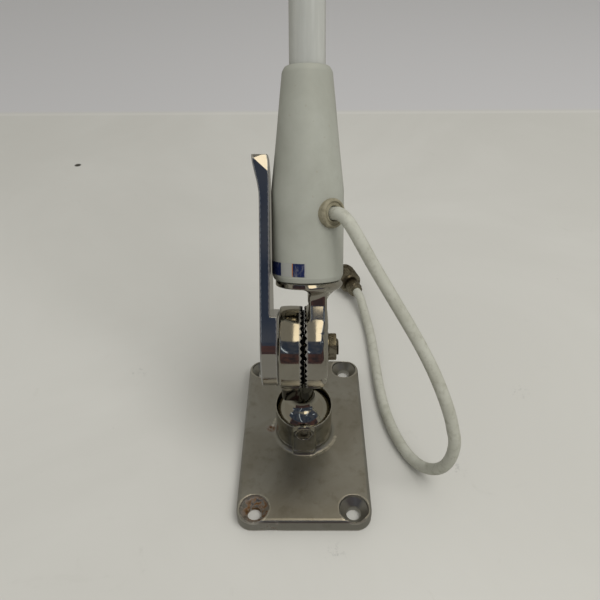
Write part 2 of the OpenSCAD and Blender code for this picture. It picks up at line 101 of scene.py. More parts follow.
# -------------------- camera
CAM_AT = (0.0009, -0.2410, 0.3060)
PITCH, YAW, ROLL = math.radians(38.49), math.radians(-0.62), math.radians(-0.55)
ahead = Vector((math.sin(YAW) * math.cos(PITCH), math.cos(YAW) * math.cos(PITCH), -math.sin(PITCH)))
right = Vector((math.cos(YAW), -math.sin(YAW), 0))
upward = right.cross(ahead)
right, upward = (
    math.cos(ROLL) * right + math.sin(ROLL) * upward,
    math.cos(ROLL) * upward - math.sin(ROLL) * right,
)
cam = bpy.data.cameras.new("camera")
cam.sensor_width, cam.lens = 36, 35.4
cam.clip_start, cam.clip_end = 0.01, 20
camera = bpy.data.objects.new("camera", cam)
bpy.context.collection.objects.link(camera)
camera.matrix_world = axes(CAM_AT, right, upward, -ahead)
bpy.context.scene.camera = camera


# -------------------- pieces
def new_object(name, points, faces, sharp=None, normals=None):
    """A mesh object from points in mm. Edges sharper than `sharp` degrees stay crisp."""
    mesh = bpy.data.meshes.new(name)
    mesh.from_pydata((np.asarray(points, float) * MM).tolist(), [], [list(map(int, f)) for f in faces])
    mesh.validate()
    mesh.shade_smooth()
    if sharp:
        mesh.set_sharp_from_angle(angle=math.radians(sharp))
    if normals is not None and len(normals) == len(mesh.vertices):
        mesh.normals_split_custom_set_from_vertices([tuple(n) for n in normals])
    obj = bpy.data.objects.new(name, mesh)
    bpy.context.collection.objects.link(obj)
    return obj


def finished(obj, body, slot, material, *nodes):
    """The piece takes its finish, rides on its body, if it has one, and stands for its CAD nodes."""
    for m in material if isinstance(material, (list, tuple)) else [material]:
        obj.data.materials.append(m)
    if body:
        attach(obj, body)
    if nodes:
        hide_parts(*nodes)
    return obj


# -------------------- node materials
class Nodes:
    """Short names for building a material's node tree."""

    def __init__(self, name):
        self.material = bpy.data.materials.new(name)
        self.material.use_nodes = True
        self.tree = self.material.node_tree
        self.tree.nodes.clear()
        self.shader = self.tree.nodes.new("ShaderNodeBsdfPrincipled")
        out = self.tree.nodes.new("ShaderNodeOutputMaterial")
        self.tree.links.new(self.shader.outputs[0], out.inputs["Surface"])
        self.place = self.tree.nodes.new("ShaderNodeTexCoord").outputs["Object"]

    def put(self, socket, value):
        if isinstance(value, bpy.types.NodeSocket):
            self.tree.links.new(value, socket)
        elif hasattr(socket.default_value, "__len__") and not hasattr(value, "__len__"):
            socket.default_value = [value] * len(socket.default_value)
        elif hasattr(value, "__len__") and len(socket.default_value) == 4 and len(value) == 3:
            socket.default_value = (*value, 1)
        else:
            socket.default_value = value

    def set(self, **values):
        for key, value in values.items():
            self.put(self.shader.inputs[key.replace("_", " ")], value)

    def math(self, how, a, b=0.0):
        n = self.tree.nodes.new("ShaderNodeMath")
        n.operation = how
        self.put(n.inputs[0], a)
        self.put(n.inputs[1], b)
        return n.outputs[0]

    def plus(self, a, b):
        return self.math("ADD", a, b)

    def times(self, a, b):
        return self.math("MULTIPLY", a, b)

    def span(self, value, low, high, to_low=0.0, to_high=1.0):
        n = self.tree.nodes.new("ShaderNodeMapRange")
        n.interpolation_type = "SMOOTHSTEP"
        for i, v in enumerate((value, low, high, to_low, to_high)):
            self.put(n.inputs[i], v)
        return n.outputs[0]

    def mix(self, amount, a, b):
        n = self.tree.nodes.new("ShaderNodeMix")
        n.data_type = "RGBA"
        self.put(n.inputs["Factor"], amount)
        for socket, value in zip([s for s in n.inputs if s.type == "RGBA"], (a, b)):
            self.put(socket, value)
        return [s for s in n.outputs if s.type == "RGBA"][0]

    def blend(self, amount, a, b):
        """a where amount is 0, b where it is 1, for plain numbers."""
        return self.plus(a, self.times(amount, self.math("SUBTRACT", b, a)))

    def stretched(self, scale, turn=(0, 0, 0)):
        n = self.tree.nodes.new("ShaderNodeMapping")
        self.put(n.inputs["Vector"], self.place)
        n.inputs["Scale"].default_value = scale
        n.inputs["Rotation"].default_value = turn
        return n.outputs[0]

    def noise(self, scale, detail=3.0, rough=0.55, at=None, warp=0.0):
        n = self.tree.nodes.new("ShaderNodeTexNoise")
        self.put(n.inputs["Vector"], at or self.place)
        n.inputs["Scale"].default_value = scale
        n.inputs["Detail"].default_value = detail
        n.inputs["Roughness"].default_value = rough
        n.inputs["Distortion"].default_value = warp
        return n.outputs[0]

    def axis(self, i):
        n = self.tree.nodes.new("ShaderNodeSeparateXYZ")
        self.put(n.inputs[0], self.place)
        return n.outputs[i]

    def near(self, point_mm, low, high):
        """1 within low mm of a point, 0 beyond high mm."""
        n = self.tree.nodes.new("ShaderNodeVectorMath")
        n.operation = "DISTANCE"
        self.put(n.inputs[0], self.place)
        n.inputs[1].default_value = [v * MM for v in point_mm]
        return self.span(n.outputs["Value"], low * MM, high * MM, 1.0, 0.0)

    def edge(self, low, high):
        """1 on convex edges, by how pointed the surface is."""
        pointed = self.tree.nodes.new("ShaderNodeNewGeometry").outputs["Pointiness"]
        return self.span(pointed, low, high)

    def bump(self, height, strength, distance_mm=0.1, normal=None):
        n = self.tree.nodes.new("ShaderNodeBump")
        n.inputs["Strength"].default_value = strength
        n.inputs["Distance"].default_value = distance_mm * MM
        self.put(n.inputs["Height"], height)
        if normal is not None:
            self.put(n.inputs["Normal"], normal)
        return n.outputs[0]


def steel(name, tone, tarnish, wear=0.0, edges=False):
    """Polished stainless with cloudy tarnish, and painted shade that darkens the neck under the discs.

    The discs have rubbing marks and black painted shade on their teeth round the gap between them; the
    lever has a pale painted highlight on its convex edges.
    """
    n = Nodes(name)
    z = n.math("SUBTRACT", n.axis(2), PIVOT_Z * MM)
    cloud = n.noise(38, 4, 0.6, warp=0.4)
    spots = n.span(n.noise(260, 3, 0.6), 0.60, 0.72)
    stain = n.times(n.span(cloud, 0.46, 0.74), tarnish)
    stain = n.math("MAXIMUM", stain, n.times(spots, tarnish * 0.5))
    # painted shade: from about 40 to 60 mm above the plate, under the discs, the colour turns nearly
    # black
    neck = n.times(n.span(z, -0.0420, -0.0385), n.span(z, -0.0215, -0.0235))
    colour = n.mix(stain, tone, (0.36, 0.34, 0.28))
    colour = n.mix(n.times(neck, 0.9), colour, (0.07, 0.068, 0.05))
    rub = n.noise(900, 2, 0.5, at=n.stretched((1, 1, 0.06)))
    n.set(Normal=n.bump(rub, 0.10, 0.012, normal=n.bump(n.noise(70, 2, 0.4), 0.35, 0.06)))
    if edges:
        # painted highlight: convex edges turn pale and a little rougher
        wear_and_edge_highlight = n.edge(0.508, 0.535)
        colour = n.mix(wear_and_edge_highlight, colour, (0.86, 0.88, 0.90))
        n.set(Base_Color=colour, Metallic=1.0, Roughness=n.plus(0.05, n.times(wear_and_edge_highlight, 0.42)))
        return n.material
    y = n.axis(1)
    rho = n.math("SQRT", n.plus(n.times(y, y), n.times(z, z)))
    # painted shade: tooth faces next to the gap between the discs turn black, not metallic and not
    # shiny
    near_teeth = n.span(n.math("ABSOLUTE", n.axis(0)), 0.0022, 0.0027, 1.0, 0.0)
    teeth_gap_shade = n.times(near_teeth, n.span(rho, 0.0226, 0.0229, 1.0, 0.0))
    outside_gap_shade = n.math("SUBTRACT", 1.0, teeth_gap_shade)
    marks = n.plus(n.times(stain, wear * 1.6), n.times(rub, wear * 0.5))
    n.set(
        Base_Color=n.mix(teeth_gap_shade, colour, (0.002, 0.002, 0.002)),
        Metallic=outside_gap_shade,
        Specular_IOR_Level=n.times(0.5, outside_gap_shade),
        Roughness=n.plus(n.plus(0.05, n.times(teeth_gap_shade, 0.5)), marks),
    )
    return n.material


def base_steel():
    """The base casting: satin plate, brighter boss, pale painted highlight on its convex edges, rust in
    a few places.
    """
    n = Nodes("base_casting")
    z = n.axis(2)
    boss = n.span(z, 0.0095, 0.0125)
    cloud = n.noise(24, 5, 0.62, warp=0.6)
    fine = n.noise(150, 4, 0.6)
    rub = n.noise(620, 2, 0.5, at=n.stretched((1, 0.25, 1)))
    plate = n.mix(n.span(cloud, 0.36, 0.68), (0.46, 0.455, 0.425), (0.56, 0.57, 0.56))
    plate = n.mix(n.span(fine, 0.50, 0.75, 0, 0.45), plate, (0.31, 0.29, 0.245))
    cup = n.mix(n.span(fine, 0.45, 0.70), (0.42, 0.405, 0.34), (0.26, 0.245, 0.19))
    colour = n.mix(boss, plate, cup)
    crust = n.noise(420, 5, 0.7, warp=0.3)
    rust = n.times(n.near((-27, -54, 6), 5.5, 11), n.span(crust, 0.40, 0.54))
    rust = n.times(rust, n.span(z, 0.0086, 0.0080))
    for spot, size, crumbs in (
        ((-20.6, 1.4, 9), (1.2, 4.2), (0.36, 0.55, 0.25, 1.0)),
        ((-18, -63.5, 2), (3, 9), (0.50, 0.62, 0, 0.7)),
        ((27, -54, 5), (4, 9), (0.58, 0.70, 0, 0.35)),
    ):
        rust = n.math("MAXIMUM", rust, n.times(n.near(spot, *size), n.span(crust, *crumbs)))
    brown = n.mix(n.span(crust, 0.5, 0.75), (0.15, 0.068, 0.014), (0.055, 0.027, 0.008))
    colour = n.mix(rust, colour, brown)
    # painted highlight: convex edges turn pale
    colour = n.mix(n.times(n.edge(0.515, 0.545), 0.8), colour, (0.80, 0.79, 0.74))
    rough = n.blend(boss, n.plus(0.33, n.times(rub, 0.08)), n.plus(0.10, n.times(fine, 0.14)))
    pits = n.bump(n.plus(fine, n.times(crust, rust)), 0.35, 0.05)
    n.set(
        Base_Color=colour,
        Metallic=n.math("SUBTRACT", 1.0, n.times(rust, 0.85)),
        Roughness=n.plus(rough, n.times(rust, 0.35)),
        Normal=n.bump(rub, 0.06, 0.012, normal=pits),
    )
    return n.material


def plastic(name, tone, shade, rough, bump, specks, coat=0.0):
    """Moulded plastic that has been outdoors: cloudy shade, small specks, soft scuffs."""
    n = Nodes(name)
    cloud = n.noise(22, 5, 0.6, warp=0.5)
    streak = n.noise(60, 3, 0.6, at=n.stretched((1, 0.35, 0.35)))
    dots = n.times(n.span(n.noise(330, 3, 0.65), 0.665, 0.72), specks)
    colour = n.mix(n.span(cloud, 0.35, 0.70), tone, shade)
    colour = n.mix(n.span(streak, 0.50, 0.80, 0, 0.35), colour, shade)
    colour = n.mix(dots, colour, (0.30, 0.28, 0.22))
    n.set(
        Base_Color=colour,
        Roughness=n.plus(rough, n.times(cloud, 0.14)),
        Coat_Weight=coat,
        Coat_Roughness=0.08,
    )
    n.set(Normal=n.bump(n.noise(900, 3, 0.6), bump, 0.03, normal=n.bump(n.noise(45, 2), 0.25, 0.08)))
    return n.material


def jacket():
    """Aged PVC cable: rubbed ivory grey with grime."""
    n = Nodes("cable_pvc")
    cloud = n.noise(60, 4, 0.62, warp=0.4)
    grime = n.span(n.noise(260, 5, 0.7, warp=0.2), 0.48, 0.72)
    colour = n.mix(n.span(cloud, 0.35, 0.7), (0.47, 0.475, 0.415), (0.40, 0.402, 0.34))
    colour = n.mix(n.times(grime, 0.38), colour, (0.21, 0.20, 0.145))
    n.set(Base_Color=colour, Roughness=n.plus(0.40, n.times(grime, 0.25)))
    n.set(Normal=n.bump(n.noise(700, 3, 0.6), 0.25, 0.03, normal=n.bump(n.noise(120, 2), 0.3, 0.1)))
    return n.material


def tarnished(name, tone, dark, rough, amount):
    """Old plated metal, browned in patches."""
    n = Nodes(name)
    patch = n.span(n.noise(170, 5, 0.68, warp=0.5), 0.38, 0.64)
    pit = n.noise(900, 3, 0.6)
    n.set(
        Base_Color=n.mix(n.times(patch, amount), tone, dark),
        Metallic=1.0,
        Roughness=n.plus(rough, n.times(patch, 0.22)),
        Normal=n.bump(n.plus(pit, patch), 0.35, 0.04),
    )
    return n.material


def soft(name, tone, shade, rough, scale=140, bump=0.3, gloss=0.5):
    """Rubber, nylon, foam, resin and other plain stuffs, slightly mottled and grained."""
    n = Nodes(name)
    cloud = n.noise(scale, 4, 0.6)
    n.set(
        Base_Color=n.mix(n.span(cloud, 0.35, 0.7), tone, shade),
        Specular_IOR_Level=gloss,
        Roughness=n.plus(rough, n.times(cloud, 0.12)),
        Normal=n.bump(n.noise(scale * 8, 3, 0.6), bump, 0.04),
    )
    return n.material


def gelcoat():
    """Glossy pale gelcoat with faint fibre lines along the whip and a clear coat."""
    n = Nodes("tube_gelcoat")
    fibre = n.noise(420, 3, 0.6, at=n.stretched((1, 0.04, 0.04), (LEAN, 0, 0)))
    cloud = n.noise(14, 3, 0.6)
    colour = n.mix(n.span(fibre, 0.40, 0.75), (0.43, 0.44, 0.415), (0.49, 0.50, 0.475))
    colour = n.mix(n.span(cloud, 0.5, 0.8, 0, 0.25), colour, (0.34, 0.34, 0.29))
    n.set(Base_Color=colour, Roughness=0.30, Coat_Weight=0.6, Coat_Roughness=0.05)
    n.set(Normal=n.bump(fibre, 0.12, 0.03))
    return n.material


def film(name, tone, rough, metal=0.0):
    """Printed film, worn in patches."""
    n = Nodes(name)
    wear_and_edge_highlight = n.noise(520, 4, 0.65, at=n.stretched((1, 0.3, 0.3)))
    n.set(
        Base_Color=n.mix(n.span(wear_and_edge_highlight, 0.50, 0.66, 0, 0.6), tone, tuple(0.5 * v + 0.20 for v in tone)),
        Metallic=metal,
        Roughness=n.plus(rough, n.times(wear_and_edge_highlight, 0.15)),
        Normal=n.bump(n.noise(160, 2), 0.2, 0.03),
    )
    return n.material


MAT = {
    "base": base_steel(),
    "disc": steel("stainless_ratchet", (0.60, 0.58, 0.53), 0.35, wear=0.08),
    "knuckle": steel("stainless_knuckle", (0.58, 0.56, 0.50), 0.45, wear=0.10),
    "lever": steel("stainless_lever", (0.62, 0.61, 0.59), 0.15, edges=True),
    "bright": tarnished("steel_fastener", (0.42, 0.395, 0.32), (0.17, 0.145, 0.10), 0.16, 0.85),
    "screw": tarnished("steel_set_screw", (0.46, 0.43, 0.36), (0.16, 0.14, 0.10), 0.20, 0.9),
    "spring": tarnished("spring_wire", (0.45, 0.44, 0.41), (0.28, 0.26, 0.22), 0.25, 0.5),
    "nylon": soft("nylon_ivory", (0.80, 0.77, 0.66), (0.70, 0.66, 0.54), 0.45),
    "seal": soft("seal_rubber", (0.035, 0.035, 0.032), (0.06, 0.058, 0.05), 0.65),
    # painted shade: black stuff for the ring in the gap between the rows of teeth
    "teeth_gap_shade": soft("ratchet_teeth_gap_shade", (0.002, 0.002, 0.002), (0.004, 0.004, 0.003), 0.85, gloss=0.0),
    "collar": plastic("collar_plastic", (0.385, 0.397, 0.352), (0.325, 0.333, 0.290), 0.40, 0.14, 0.45),
    "brass": tarnished("insert_brass", (0.72, 0.55, 0.26), (0.42, 0.30, 0.13), 0.22, 0.5),
    "rubber": soft("grommet_rubber", (0.285, 0.262, 0.185), (0.20, 0.180, 0.120), 0.55, 300, 0.45),
    "tube": gelcoat(),
    "cap": plastic("cap_plastic", (0.66, 0.68, 0.66), (0.60, 0.61, 0.57), 0.28, 0.08, 0.3, coat=0.4),
    "foam": soft("foam_white", (0.84, 0.84, 0.80), (0.74, 0.73, 0.68), 0.85, 500, 0.8),
    "resin": soft("former_resin", (0.55, 0.44, 0.25), (0.42, 0.32, 0.17), 0.5),
    "copper": tarnished("coil_copper", (0.80, 0.42, 0.22), (0.42, 0.20, 0.10), 0.2, 0.5),
    "jacket": jacket(),
    "nickel": tarnished("plug_nickel", (0.40, 0.37, 0.29), (0.13, 0.11, 0.075), 0.22, 0.95),
    "pin": tarnished("pin_brass", (0.70, 0.56, 0.30), (0.34, 0.26, 0.14), 0.22, 0.6),
    "ptfe": soft("insulator_white", (0.82, 0.80, 0.72), (0.70, 0.67, 0.58), 0.4),
}


# -------------------- cable
SEAM = (80, -36.6, 54)
LOOP_ROUTE = [
    (21.4, 12.6, 155.4), (25, 9, 151.4), (29.2, 5.6, 145), (34.4, 1.9, 136.6), (40.5, -2, 127.2),
    (47, -6.5, 117.5), (53.8, -11.5, 107.5), (60.7, -17, 97), (67, -23, 86.5), (72.5, -29, 75.5),
    (76.8, -33.4, 65), (78.6, -35.2, 59.5), SEAM,
]
TAIL_ROUTE = [
    SEAM, (81.4, -38, 48.5), (82, -38.8, 41), (81.4, -38.4, 31), (79.2, -36.2, 21),
    (75.4, -31.6, 12.4), (70.6, -25, 6.4), (66, -17.6, 3.9), (62.2, -10, 3.5), (59.2, -2, 3.5),
    (56.7, 7, 3.5), (54.7, 17, 3.5), (53.3, 28, 3.5), (52.4, 40, 3.5), (51.9, 53, 3.5),
    (51.7, 66, 3.5), (51.5, 79, 3.5), (51.2, 91, 3.5), (50.6, 102, 3.5), (49.8, 111, 3.5),
    (48.8, 119, 4.2), (47.6, 126, 6.1), (46.3, 132.4, 8.3),
]
grommet_dir = Vector((math.sin(GROMMET_A), -math.cos(GROMMET_A) * COS, math.cos(GROMMET_A) * SIN))
cable_exit = Vector((WHIP_X, GROMMET_S * SIN, PIVOT_Z + GROMMET_S * COS))
cable_exit += (COLLAR_R + 2.6) * grommet_dir
plug_dir = Vector((-math.sin(PLUG_TURN), math.cos(PLUG_TURN), 0))
plug_back = Vector(PLUG_AT)


def smooth_path(points, step=1.2, before=None, after=None):
    """A Catmull-Rom curve through the points, cut into equal steps of about `step` mm."""
    p = np.array(points, float)
    first = np.array(before, float) if before is not None else 2 * p[0] - p[1]
    last = np.array(after, float) if after is not None else 2 * p[-1] - p[-2]
    p = np.vstack([first, p, last])
    dense = []
    for i in range(1, len(p) - 2):
        a, b, c, d = p[i - 1 : i + 3]
        ta, tb, tc = (max(np.linalg.norm(v), 1e-6) ** 0.5 for v in (b - a, c - b, d - c))
        m1 = (b - a) / ta - (c - a) / (ta + tb) + (c - b) / tb
        m2 = (c - b) / tb - (d - b) / (tb + tc) + (d - c) / tc
        m1, m2 = m1 * tb, m2 * tb
        for t in np.linspace(0, 1, 24, endpoint=False):
            h = (2 * t**3 - 3 * t**2 + 1, t**3 - 2 * t**2 + t, -2 * t**3 + 3 * t**2, t**3 - t**2)
            dense.append(h[0] * b + h[1] * m1 + h[2] * c + h[3] * m2)
    dense = np.array(dense + [p[-2]])
    run = np.concatenate([[0], np.cumsum(np.linalg.norm(np.diff(dense, axis=0), axis=1))])
    count = max(2, int(round(run[-1] / step)) + 1)
    where = np.linspace(0, run[-1], count)
    return np.column_stack([np.interp(where, run, dense[:, k]) for k in range(3)]), run[-1]


def tube(name, path, radius, sides=28):
    """A round tube along a path, closed at both ends."""
    n = len(path)
    heading = np.gradient(path, axis=0)
    heading /= np.linalg.norm(heading, axis=1)[:, None]
    side = np.cross([0.3, 0.2, 1.0], heading[0])
    rings = []
    for i in range(n):
        side = side - heading[i] * (side @ heading[i])
        side /= np.linalg.norm(side)
        other = np.cross(heading[i], side)
        angle = np.arange(sides) * 2 * math.pi / sides
        ring = np.cos(angle)[:, None] * side + np.sin(angle)[:, None] * other
        rings.append(path[i] + radius * ring)
    points = np.vstack(rings)
    faces = [
        (a + k, a + (k + 1) % sides, a + sides + (k + 1) % sides, a + sides + k)
        for a in range(0, (n - 1) * sides, sides)
        for k in range(sides)
    ]
    faces += [tuple(range(sides))[::-1], tuple(range((n - 1) * sides, n * sides))]
    return new_object(name, points, faces, sharp=60)


loop_points = [cable_exit, cable_exit + 3 * grommet_dir] + LOOP_ROUTE
tail_points = TAIL_ROUTE + [plug_back - 5 * plug_dir, plug_back]
loop_path, loop_length = smooth_path(loop_points, after=TAIL_ROUTE[1])
tail_path, tail_length = smooth_path(tail_points, before=LOOP_ROUTE[-2])
cable_loop = tube("coax_loop", loop_path, CABLE_R)
cable_tail = tube("coax_tail", tail_path, CABLE_R)
finished(cable_loop, None, "cable_jacket", MAT["jacket"], "cable_loop")
finished(cable_tail, None, "cable_jacket", MAT["jacket"], "cable_tail")


# -------------------- distance fields
def union(a, b, r=0.0):
    """Union with a fillet of radius r in the corner."""
    if r <= 0:
        return np.minimum(a, b)
    return np.maximum(r, np.minimum(a, b)) - np.hypot(np.maximum(r - a, 0), np.maximum(r - b, 0))


def both(a, b, r=0.0):
    """Intersection with its edge rounded to radius r."""
    if r <= 0:
        return np.maximum(a, b)
    return np.minimum(-r, np.maximum(a, b)) + np.hypot(np.maximum(r + a, 0), np.maximum(r + b, 0))


def cut(a, b, r=0.0):
    """a without b, with the edge rounded to radius r."""
    return both(a, -b, r)


def slab_2d(x, y, half_x, half_y, corner):
    """Signed distance to a rectangle with round corners."""
    qx, qy = np.abs(x) - half_x + corner, np.abs(y) - half_y + corner
    return np.hypot(np.maximum(qx, 0), np.maximum(qy, 0)) + np.minimum(np.maximum(qx, qy), 0) - corner


def outline(u, v, points):
    """Signed distance to a closed polygon."""
    best, inside = None, np.zeros(u.shape, bool)
    for (ax, ay), (bx, by) in zip(points, points[1:] + points[:1]):
        ex, ey = bx - ax, by - ay
        t = np.clip(((u - ax) * ex + (v - ay) * ey) / (ex * ex + ey * ey), 0, 1)
        d = np.hypot(u - ax - t * ex, v - ay - t * ey)
        best = d if best is None else np.minimum(best, d)
        if ay != by:
            crosses = ((ay > v) != (by > v)) & (u < ex * (v - ay) / ey + ax)
            inside ^= crosses
    return np.where(inside, -best, best)


def prism(u, v, w, points, low, high, r):
    """A polygon in (u, v) pulled from low to high along w."""
    return both(outline(u, v, points), np.maximum(low - w, w - high), r)


def toothed_face(x, y, z, phase):
    """Distance past a disc's teeth. The disc lies at x < 0; its tips stand TIP_IN short of x = 0."""
    rho, angle = np.hypot(y, z), np.arctan2(y, z)
    pitch = 2 * math.pi / TEETH
    off = (angle / pitch - phase + 0.5) % 1 - 0.5
    half = math.pi * DISC_R / TEETH + 0.1
    height = TOOTH_H * np.clip(1 - np.abs(rho * np.sin(off * pitch)) / half, 0, 1)
    root = -TIP_IN - TOOTH_H
    face, dish = root + height, root - 0.6
    step = np.clip((rho - TOOTH_R0) / 0.5, 0, 1)
    return (x - (dish + (face - dish) * step)) * 0.78


OFFSETS = np.array([(i, j, k) for i in (0, 1) for j in (0, 1) for k in (0, 1)])


def surface_nets(field, low, high, cell):
    """Points, quads and normals of field = 0 inside the box, vectorised surface nets."""
    low = np.array(low, float)
    size = np.ceil((np.array(high, float) - low) / cell).astype(int) + 1
    axis = [low[k] + cell * np.arange(size[k]) for k in range(3)]
    value = np.empty(size, np.float32)
    y, z = np.meshgrid(axis[1], axis[2], indexing="ij")
    block = max(1, int(400000 / y.size))
    for i in range(0, size[0], block):
        xs = axis[0][i : i + block]
        shape = (len(xs), *y.shape)
        x = np.broadcast_to(xs[:, None, None], shape)
        value[i : i + block] = field(x, np.broadcast_to(y, shape), np.broadcast_to(z, shape))
    value[value == 0] = 1e-6
    inside = value < 0
    total = np.zeros([*(size - 1), 3], np.float32)
    hits = np.zeros(size - 1, np.float32)
    for corner in OFFSETS:
        for k in range(3):
            if corner[k]:
                continue
            other = corner.copy()
            other[k] = 1
            sa = tuple(slice(c, c + s - 1) for c, s in zip(corner, size))
            sb = tuple(slice(c, c + s - 1) for c, s in zip(other, size))
            a, b = value[sa], value[sb]
            cross = inside[sa] != inside[sb]
            t = np.where(cross, a / np.where(cross, a - b, 1), 0)
            for m in range(3):
                total[..., m] += np.where(cross, corner[m] + (t if m == k else 0), 0)
            hits += cross
    used = hits > 0
    index = np.full(used.shape, -1, np.int64)
    index[used] = np.arange(used.sum())
    where = np.argwhere(used)
    points = low + cell * (where + total[used] / hits[used][:, None])
    quads = []
    for k in range(3):
        u, v = (k + 1) % 3, (k + 2) % 3
        sa, sb = [slice(None)] * 3, [slice(None)] * 3
        sa[k], sb[k] = slice(0, -1), slice(1, None)
        a, b = inside[tuple(sa)], inside[tuple(sb)]
        for flip in (False, True):
            at = np.argwhere((b & ~a) if flip else (a & ~b))
            ok = (at[:, u] > 0) & (at[:, v] > 0) & (at[:, u] < size[u] - 1) & (at[:, v] < size[v] - 1)
            at = at[ok]
            step_u, step_v = np.eye(3, dtype=int)[u], np.eye(3, dtype=int)[v]
            ring = [at - step_u - step_v, at - step_v, at, at - step_u]
            ids = np.column_stack([index[tuple(c.T)] for c in ring])
            quads.append(ids[:, ::-1] if flip else ids)
    quads = np.vstack(quads)

    def slope(p):
        h = 0.02
        g = np.empty_like(p)
        for m in range(3):
            d = np.zeros(3)
            d[m] = h
            g[:, m] = (field(*(p + d).T) - field(*(p - d).T)) / (2 * h)
        return g

    start = points.copy()
    for _ in range(4):
        g = slope(points)
        move = g * (field(*points.T) / np.maximum((g * g).sum(1), 0.05))[:, None]
        far = np.linalg.norm(move, axis=1)
        points = points - move * np.minimum(1, 0.3 * cell / np.maximum(far, 1e-9))[:, None]
    away = points - start
    far = np.linalg.norm(away, axis=1)
    points = start + away * np.minimum(1, 0.9 * cell / np.maximum(far, 1e-9))[:, None]
    g = slope(points)
    return points, quads, g / np.maximum(np.linalg.norm(g, axis=1), 1e-9)[:, None]


def cast(name, field, low, high, cell, matrix=None):
    """An object from a distance field given in a piece's own frame, in mm."""
    points, quads, normals = surface_nets(field, low, high, cell)
    if matrix is not None:
        normals = normals @ np.array(matrix)[:3, :3].T
        points = moved(matrix, points)
    return new_object(name, points, quads, normals=normals)


# -------------------- the castings
def base_field(x, y, z):
    r = np.hypot(x, y)
    slab = both(slab_2d(x, y, PLATE_W / 2, PLATE_L / 2, CORNER_R), z - PLATE_T, EDGE_R)
    rim = (z - BOSS_Z - y * math.tan(RIM_TILT)) * math.cos(RIM_TILT)
    boss = both(both(r - BOSS_R, rim, 0.5), 4 - z)
    arch = np.where(z > PAD_Z, np.hypot(x, z - PAD_Z), np.abs(x)) - PAD_R
    pad = both(both(arch, PAD_Y - y, 1.8), y + 9)
    pad = both(both(pad, r - 19.3, 1.0), 4 - z)
    solid = union(union(slab, boss, 2.6), pad, 1.0)
    solid = both(solid, -z, 0.6)
    # sockets for the spigot, its skirt and the dome, then the way through for the swivel bolt
    socket = np.minimum.reduce([both(r - radius, floor - z) for radius, floor in SOCKET_STEPS])
    solid = cut(solid, socket, 0.25)
    solid = cut(solid, both(r - 11.5, z - 9), 0.3)
    solid = cut(solid, both(r - 4.3, z - 15))
    screw = both(np.hypot(x, z - PAD_Z) - 4.25, y + 12.6)
    solid = cut(solid, screw, 0.9)
    hx, hy = np.abs(x) - HOLE_X, np.abs(y) - HOLE_Y
    rh = np.hypot(hx, hy)
    pocket = both(slab_2d(x, y, PLATE_W / 2 - 5, PLATE_L / 2 - 5, 2), z - 2.5)
    solid = cut(solid, both(pocket, 9 - rh), 0.5)
    throat = np.clip(HOLE_R + z - (PLATE_T - SINK_WALL - SINK_R + HOLE_R), HOLE_R, SINK_R)
    solid = cut(solid, (rh - throat) * 0.75, 0.35)
    nick = np.sqrt(((x + 18) / 6.5) ** 2 + ((y + 64.1) / 1.1) ** 2 + ((z - 1.2) / 1.3) ** 2) - 1
    return cut(solid, nick * 1.1, 0.3)


def disc_field(x, y, z, phase, edge):
    """A toothed disc with a slightly crowned rim, its teeth near x = 0; y and z are from the pivot."""
    rho = np.hypot(y, z) + 0.010 * (x + DISC_T / 2) ** 2
    body = both(rho - DISC_R, -DISC_T - x, edge)
    return both(body, toothed_face(x, y, z, phase), 0.05)


def knuckle_field(x, y, z):
    r = np.hypot(x, y)
    spigot = both(r - 12, np.maximum(14.3 - z, z - 31))
    skirt = both(r - 14.2, np.maximum(22.3 - z, z - 24.4), 0.2)
    cap = both(np.sqrt(x * x + y * y + (z - 22.18) ** 2) - 18.12, np.maximum(29.3 - z, r - 16.4), 0.2)
    low = np.minimum(np.minimum(spigot, skirt), cap)
    neck = both(np.hypot(x + 0.8, y) - 6.8, np.maximum(32 - z, z - 56.3), 1.5)
    body = union(low, neck, 3.0)
    cheek = prism(y, z, x, [(-7.5, 45), (7.5, 45), (14, 64), (-14, 64)], -12.6, -2.45, 2.5)
    disc = disc_field(x, y, z - PIVOT_Z, 0.0, 1.2)
    body = union(union(body, cheek, 3.0), disc, 1.0)
    rho = np.hypot(y, z - PIVOT_Z)
    body = cut(body, both(rho - POCKET_R, -POCKET_X - x), 0.2)
    body = cut(body, rho - BOLT_HOLE, 0.2)
    body = cut(body, both(r - 4, z - 28))
    # the fillets stay clear of the other disc's teeth
    return both(body, np.where(z > 50, x + TIP_IN, -9.0))


def bracket_field(x, y, z):
    """In the whip's frame: z runs along the whip from the pivot."""
    disc = disc_field(-x, y, z, 0.5, 4.0)
    stem = prism(
        y, z, x, [(-18, 13), (18, 13), (13, 26), (13, 36.5), (-13, 36.5), (-13, 26)], 2.8, 12.6, 2.2
    )
    r = np.hypot(x - WHIP_X, y)
    flange = both(r - 17.4, np.maximum(35.1 - z, z - 38.3), 0.7)
    taper = (r - 10.4 - (z - 28.1)) * COS_45
    taper = both(taper, np.maximum(28.1 - z, np.maximum(z - 36, 3.2 - x)), 0.6)
    stud = both(r - 12.6, np.maximum(36 - z, z - 60.3), 0.5)
    upper = union(union(stem, taper, 2.0), flange, 3.6)
    rho = np.hypot(y, z)
    body = union(union(disc, upper, 1.8), stud)
    body = cut(body, both(rho - POCKET_R, x - POCKET_X), 0.2)
    body = cut(body, rho - 4.77, 0.2)
    return both(body, TIP_IN - x + np.where(z > 30, -30.0, 0.0))


def arc(centre, radius, start, end, count):
    return [
        (centre[0] + radius * math.cos(math.radians(a)), centre[1] + radius * math.sin(math.radians(a)))
        for a in np.linspace(start, end, count)
    ]


